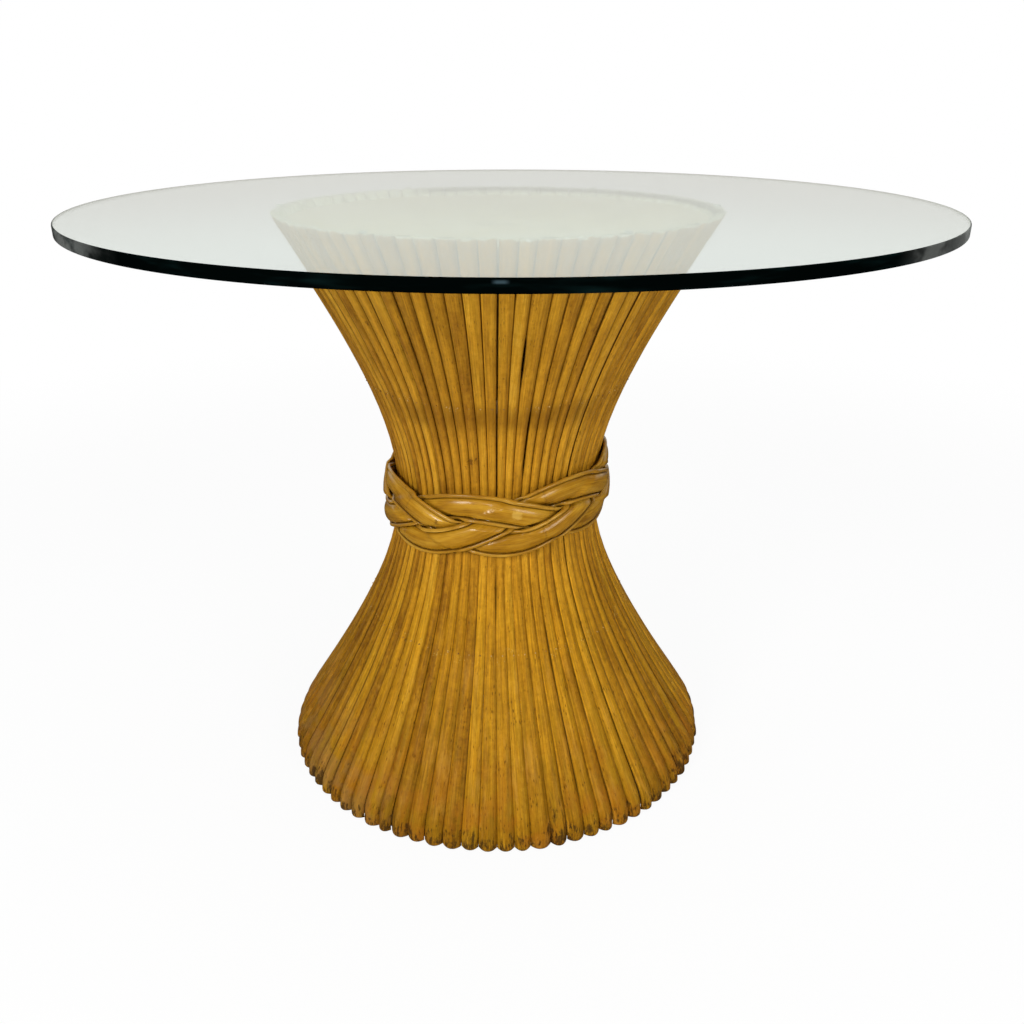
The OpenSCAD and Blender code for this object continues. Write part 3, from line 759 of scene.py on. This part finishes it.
def clearGlass():
    look = glass
    graph = newMaterial("clearGlass")
    smear = graph.ramp(graph.noise(objectPlace(graph), 7.0, 4.0, 0.6), 0.45, 0.75)
    pane = graph.term("ShaderNodeBsdfPrincipled", None, {
        "Base Color": look["clear"], "Roughness": smear * look["smear"], "IOR": look["ior"],
        "Transmission Weight": 1.0})
    through = graph.term("ShaderNodeBsdfTransparent", None, {"Color": look["shade"]})
    isShadow, isDiffuse = rayKinds(graph, "Is Shadow Ray", "Is Diffuse Ray")
    letThrough = graph.math("MAXIMUM", isShadow, isDiffuse)
    mixed = graph.term("ShaderNodeMixShader", None, {0: letThrough, 1: pane, 2: through})
    return finishMaterial(graph, mixed)


def glassEdge():
    look = glass
    graph = newMaterial("glassEdge")
    placeX, placeY, placeZ = graph.parts(objectPlace(graph))
    angle = graph.math("ARCTAN2", placeX, -placeY)
    # faint green glints in blotches round the rim: painted reflection
    glint = graph.noise(graph.vector(angle * 5.0, placeZ * 60.0, 0.0), 1.0, 3.0, 0.6)
    colour = graph.mix(graph.ramp(glint, 0.48, 0.80), look["edge"], look["edgeGlint"])

    # paler towards the two sides, where the rim is seen almost edge on, and one small glint in front: a
    # painted reflection and a painted glint
    patch = graph.noise(graph.vector(angle * 9.0, placeZ * 30.0, 4.0), 1.0, 3.0, 0.6)
    patch = graph.ramp(patch, 0.36, 0.58)
    right = graph.ramp(placeX, 0.335, 0.375) * (0.10 + patch * 0.35 + graph.ramp(placeX, 0.39, 0.47) * 0.5)
    left = graph.ramp(placeX, -0.345, -0.43) * (0.08 + patch * 0.42)
    colour = graph.mix(graph.math("MAXIMUM", right, left), colour, look["edgeSideLight"])
    spot = graph.band(placeX, -0.013, -0.003, 0.003) * graph.ramp(placeY, -0.50, -0.52)
    spot = spot * graph.band(placeZ, glassHigh[2] - 0.0045, glassHigh[2] - 0.0020, 0.001)
    colour = graph.mix(spot * glint, colour, look["glint"])
    return finishSurface(graph, colour, 0.06 + glint * 0.06, None,
                         {"IOR": look["ior"], "Specular IOR Level": 0.0})


def makeGlass():
    low, high, arris = glassLow[2], glassHigh[2], glass["arris"]
    radius = min(glassHigh[0] - glassLow[0], glassHigh[1] - glassLow[1]) / 2
    centreX = (glassLow[0] + glassHigh[0]) / 2
    centreY = (glassLow[1] + glassHigh[1]) / 2
    steps = [math.pi / 2 * i / glass["arrisSteps"] for i in range(glass["arrisSteps"] + 1)]
    profile = [(radius - arris + arris * math.sin(a), low + arris - arris * math.cos(a)) for a in steps]
    profile += [(radius - arris + arris * math.cos(a), high - arris + arris * math.sin(a)) for a in steps]
    count = glass["segments"]
    points = []
    for r, z in profile:
        for i in range(count):
            angle = math.tau * i / count
            points.append((centreX + r * math.cos(angle), centreY + r * math.sin(angle), z))
    bottomCentre, topCentre = len(points), len(points) + 1
    points += [(centreX, centreY, low), (centreX, centreY, high)]

    faces, isEdge = [], []
    lastRow = (len(profile) - 1) * count
    for i in range(count):
        j = (i + 1) % count
        for row in range(len(profile) - 1):
            faces.append((row * count + i, row * count + j, (row + 1) * count + j, (row + 1) * count + i))
            isEdge.append(True)
        faces += [(bottomCentre, j, i), (topCentre, lastRow + i, lastRow + j)]
        isEdge += [False, False]
    mesh = bpy.data.meshes.new("glassPane")
    mesh.from_pydata(points, [], faces)
    mesh.materials.append(clearGlass())
    mesh.materials.append(glassEdge())
    for face, edge in zip(mesh.polygons, isEdge):
        face.material_index = int(edge)
        face.use_smooth = edge
    piece = addObject("glassPane", mesh)
    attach(piece, "glass")
    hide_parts("glass_top")
    print("glass is made")


# finishes of the pieces that keep their CAD shape
plateLook = {
    "colour": (0.75, 0.61, 0.41), "worn": (0.50, 0.40, 0.27), "light": (0.83, 0.71, 0.56),
    "chip": (0.24, 0.19, 0.13), "roughness": 0.55, "centreX": (plateLow[0] + plateHigh[0]) / 2,
    "rimFrom": 0.252, "rimTo": 0.268, "chipFrom": 0.257, "chipTo": 0.264,
}
woodLook = {
    "plywood": [(0.0, (0.34, 0.215, 0.105)), (0.5, (0.47, 0.325, 0.175)), (1.0, (0.58, 0.43, 0.255))],
    "dowel": [(0.0, (0.29, 0.165, 0.075)), (0.5, (0.42, 0.26, 0.125)), (1.0, (0.52, 0.35, 0.19))],
    "glue": (0.12, 0.06, 0.03), "ply": 0.003,
}
smallLook = {
    "putty": (0.36, 0.165, 0.015), "puttyPale": (0.52, 0.32, 0.085), "puttyDark": (0.15, 0.060, 0.008),
    "steel": (0.52, 0.52, 0.53), "steelDull": (0.30, 0.29, 0.28), "nylon": (0.035, 0.030, 0.026),
    "nylonScuff": (0.085, 0.078, 0.070), "bumper": (0.86, 0.89, 0.87), "dust": (0.62, 0.62, 0.58),
}


def plateMaterial():
    look = plateLook
    graph = newMaterial("platePaint")
    place = objectPlace(graph)
    placeX, placeY = graph.parts(place)[:2]
    strokes = graph.noise(graph.multiply(place, (9.0, 130.0, 0.0)), 1.0, 4.0, 0.6)
    blotch = graph.noise(place, 9.0, 4.0, 0.6)
    smudge = graph.ramp(graph.noise(place, 21.0, 3.0, 0.65), 0.54, 0.70)
    dots = graph.ramp(graph.spots(graph.multiply(place, (120.0, 120.0, 0.0))), 0.10, 0.05)
    colour = graph.mix(graph.ramp(blotch, 0.35, 0.70), look["colour"], look["light"])
    colour = graph.mix(smudge * 0.60, colour, look["worn"])
    colour = graph.mix(dots * 0.35, colour, look["worn"])
    rim = distanceAround(graph, placeX, placeY, look["centreX"], axisY) + (blotch - 0.5) * 0.02
    colour = graph.mix(graph.ramp(rim, look["rimFrom"], look["rimTo"]) * 0.5, colour, look["light"])
    chips = graph.ramp(graph.noise(place, 230.0, 3.0, 0.65), 0.55, 0.64)
    chips = chips * graph.ramp(rim, look["chipFrom"], look["chipTo"])
    colour = graph.mix(chips * 0.75, colour, look["chip"])
    height = strokes * 0.4 + blotch * 0.8 - dots * 0.5
    roughness = look["roughness"] + (strokes - 0.5) * 0.2
    return finishSurface(graph, colour, roughness, (height, 0.0008, 0.6))


def plywoodMaterial():
    graph = newMaterial("barePlywood")
    place = objectPlace(graph)
    figure = graph.noise(graph.multiply(place, (3.0, 42.0, 4.0)), 1.0, 5.0, 0.62)
    fine = graph.noise(graph.multiply(place, (60.0, 900.0, 60.0)), 1.0, 3.0, 0.6)
    plies = graph.fraction(graph.parts(place)[2] + (fine - 0.5) * 0.0006, 1 / woodLook["ply"])
    line = graph.band(plies, 0.42, 0.58, 0.08)
    level = 0.15 + figure * 0.75
    colour = graph.term("ShaderNodeValToRGB", {"stops": woodLook["plywood"]}, {"Fac": level})
    colour = graph.tint(colour, 0.80 + fine * 0.36)
    colour = graph.mix(line * 0.22, colour, woodLook["glue"])
    return finishSurface(graph, colour, 0.62 + (fine - 0.5) * 0.2, (fine + figure * 0.4, 0.0004, 0.5))


def dowelMaterial():
    graph = newMaterial("bareDowel")
    place = objectPlace(graph)
    figure = graph.noise(graph.multiply(place, (70.0, 70.0, 3.0)), 1.0, 4.0, 0.6)
    fine = graph.noise(graph.multiply(place, (900.0, 900.0, 22.0)), 1.0, 3.0, 0.6)
    level = 0.1 + figure * 0.8
    colour = graph.term("ShaderNodeValToRGB", {"stops": woodLook["dowel"]}, {"Fac": level})
    colour = graph.tint(colour, 0.82 + fine * 0.34)
    return finishSurface(graph, colour, 0.55 + (fine - 0.5) * 0.2, (fine, 0.0003, 0.5))


def steelMaterial():
    look = smallLook
    graph = newMaterial("zincSteel")
    place = objectPlace(graph)
    haze = graph.noise(place, 320.0, 4.0, 0.6)
    spot = graph.ramp(graph.noise(place, 900.0, 2.0, 0.5), 0.58, 0.72)
    colour = graph.mix(graph.ramp(haze, 0.35, 0.75), look["steel"], look["steelDull"])
    return finishSurface(graph, colour, 0.28 + haze * 0.25, (haze, 0.0001, 0.4),
                         {"Metallic": 1 - spot * 0.25})


def puttyMaterial():
    look = smallLook
    graph = newMaterial("filledBrad")
    place = objectPlace(graph)
    tone = graph.noise(place, 90.0, 1.0)
    grit = graph.noise(place, 1500.0, 3.0, 0.6)
    colour = graph.mix(graph.ramp(tone, 0.50, 0.58), look["putty"], look["puttyPale"])
    colour = graph.mix(graph.ramp(tone, 0.42, 0.36) * 0.8, colour, look["puttyDark"])
    colour = graph.tint(colour, 0.8 + grit * 0.4)
    return finishSurface(graph, colour, 0.5 + (grit - 0.5) * 0.3, (grit, 0.0001, 0.5))


def nylonMaterial():
    look = smallLook
    graph = newMaterial("glideNylon")
    scratch = graph.noise(graph.multiply(objectPlace(graph), (160.0, 900.0, 300.0)), 1.0, 4.0, 0.65)
    worn = graph.ramp(scratch, 0.52, 0.72)
    colour = graph.mix(worn, look["nylon"], look["nylonScuff"])
    return finishSurface(graph, colour, 0.42 + worn * 0.25, (scratch, 0.0002, 0.5))


def bumperMaterial():
    look = smallLook
    graph = newMaterial("bumperPlastic")
    haze = graph.ramp(graph.noise(objectPlace(graph), 260.0, 3.0, 0.6), 0.40, 0.75)
    colour = graph.mix(haze * 0.6, look["bumper"], look["dust"])
    return finishSurface(graph, colour, 0.18 + haze * 0.30, None,
                         {"IOR": 1.45, "Transmission Weight": 0.55})


def dressNodes():
    finishes = (
        (plateMaterial(), ("top_plate",)),
        (bumperMaterial(), ("glass_bumpers",)),
        (nylonMaterial(), ("glides",)),
        (plywoodMaterial(), ("upper_hoop", "waist_disc", "lower_hoop", "foot_ring")),
        (dowelMaterial(), ("post_front", "post_right", "post_back", "post_left")),
        (steelMaterial(), ("post_screws_top", "post_screws_foot", "glide_nails")),
        (puttyMaterial(), ("braid_tacks", "top_brads", "upper_brads", "lower_brads", "foot_brads")),
    )
    for finish, names in finishes:
        for name in names:
            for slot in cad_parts[name].material_slots:
                slot.material = finish
    print("CAD pieces have their finishes")


# floor, backdrop and light
studio = {
    "white": (1.0, 1.0, 1.0), "floorHalf": 6.0, "floorColour": (0.84, 0.84, 0.84),
    "floorMirrored": (0.09, 0.075, 0.05), "floorWhite": 0.93, "whiteFrom": 1.0, "whiteTo": 2.6,
    "hidden": 0.25, "ambient": (0.25, 0.25, 0.25), "ceiling": (0.17, 0.145, 0.10),
    "wallLow": (0.785, 0.785, 0.715), "wallHigh": (0.955, 1.03, 0.925), "farThrough": (0.91, 0.865, 0.915),
}
# lamps: place, point they look at, size, power, seen in the glass or not
lamps = {
    "keyLamp": ((-1.7, -2.2, 1.8), (0.0, 0.0, 0.40), 1.1, 54.0, True),
    "frontLamp": ((-0.15, -2.4, 1.75), (0.0, 0.0, 0.40), 0.32, 5.6, True),
    "fillLamp": ((1.8, -2.2, 1.5), (0.0, 0.0, 0.35), 1.2, 31.0, True),
    "overheadLamp": ((0.2, 0.2, 2.5), (0.0, 0.0, 0.50), 1.6, 24.0, False),
}


def makeFloor():
    half = studio["floorHalf"]
    mesh = bpy.data.meshes.new("studioFloor")
    corners = [(-half, -half, 0), (half, -half, 0), (half, half, 0), (-half, half, 0)]
    mesh.from_pydata(corners, [], [(0, 1, 2, 3)])
    graph = newMaterial("paleFloor")
    isGlossy, isCamera, isThrough = rayKinds(graph, "Is Glossy Ray", "Is Camera Ray", "Is Transmission Ray")
    colour = graph.mix(isGlossy, studio["floorColour"], studio["floorMirrored"])
    matt = graph.term("ShaderNodeBsdfDiffuse", None, {"Color": colour})

    # seen directly the floor glows nearly white, and wholly so far away; under the sheaf it stays dark
    placeX, placeY = graph.parts(objectPlace(graph))[:2]
    away = graph.ramp(distanceAround(graph, placeX, placeY), studio["whiteFrom"], studio["whiteTo"])
    inside = distanceAround(graph, placeX, placeY, axisX, axisY) < studio["hidden"]
    seen = graph.math("MAXIMUM", isCamera, isThrough)
    share = seen * (1 - inside) * (studio["floorWhite"] + away * (1 - studio["floorWhite"]))
    shine = graph.mix(away * isThrough, studio["white"], studio["farThrough"])
    glow = graph.term("ShaderNodeEmission", None, {"Color": shine, "Strength": 1.0})
    mixed = graph.term("ShaderNodeMixShader", None, {0: share, 1: matt, 2: glow})
    mesh.materials.append(finishMaterial(graph, mixed))
    floor = addObject("studioFloor", mesh)


def makeWorld():
    world = bpy.data.worlds.new("studioWorld")
    scene.world = world
    world.use_nodes = True
    world.node_tree.nodes.clear()
    graph = Graph(world.node_tree)
    isCamera, isThrough, isGlossy = rayKinds(graph, "Is Camera Ray", "Is Transmission Ray", "Is Glossy Ray")
    directionY, height = graph.parts(objectPlace(graph))[1:]

    # mirrored in the glass: a bright wall behind the table, and a dim ceiling
    wall = graph.mix(graph.ramp(height, 0.08, 0.16), studio["wallLow"], studio["wallHigh"])
    behind = graph.ramp(height, 0.45, 0.25) * graph.ramp(directionY, 0.35, 0.65)
    mirrored = graph.mix(behind, studio["ceiling"], wall)
    colour = graph.mix(isGlossy, studio["ambient"], mirrored)
    colour = graph.mix(isThrough, colour, studio["farThrough"])
    colour = graph.mix(isCamera, colour, studio["white"])
    sky = graph.term("ShaderNodeBackground", None, {"Color": colour, "Strength": 1.0})
    graph.node("ShaderNodeOutputWorld", None, {"Surface": sky})


def makeLamp(name, place, aim, size, power, isMirrored):
    data = bpy.data.lights.new(name, "AREA")
    data.shape = "DISK"
    data.size = size
    data.energy = power
    holder = addObject(name, data)
    holder.location = place
    holder.rotation_euler = (Vector(aim) - Vector(place)).to_track_quat("-Z", "Y").to_euler()
    holder.visible_glossy = holder.visible_transmission = isMirrored


def makeStudio():
    makeFloor()
    makeWorld()
    for name, values in lamps.items():
        makeLamp(name, *values)
    scene.view_settings.view_transform = "Standard"
    print("studio is set")


makeCamera()
makeSheaf()
makePlait()
makeGlass()
dressNodes()
makeStudio()
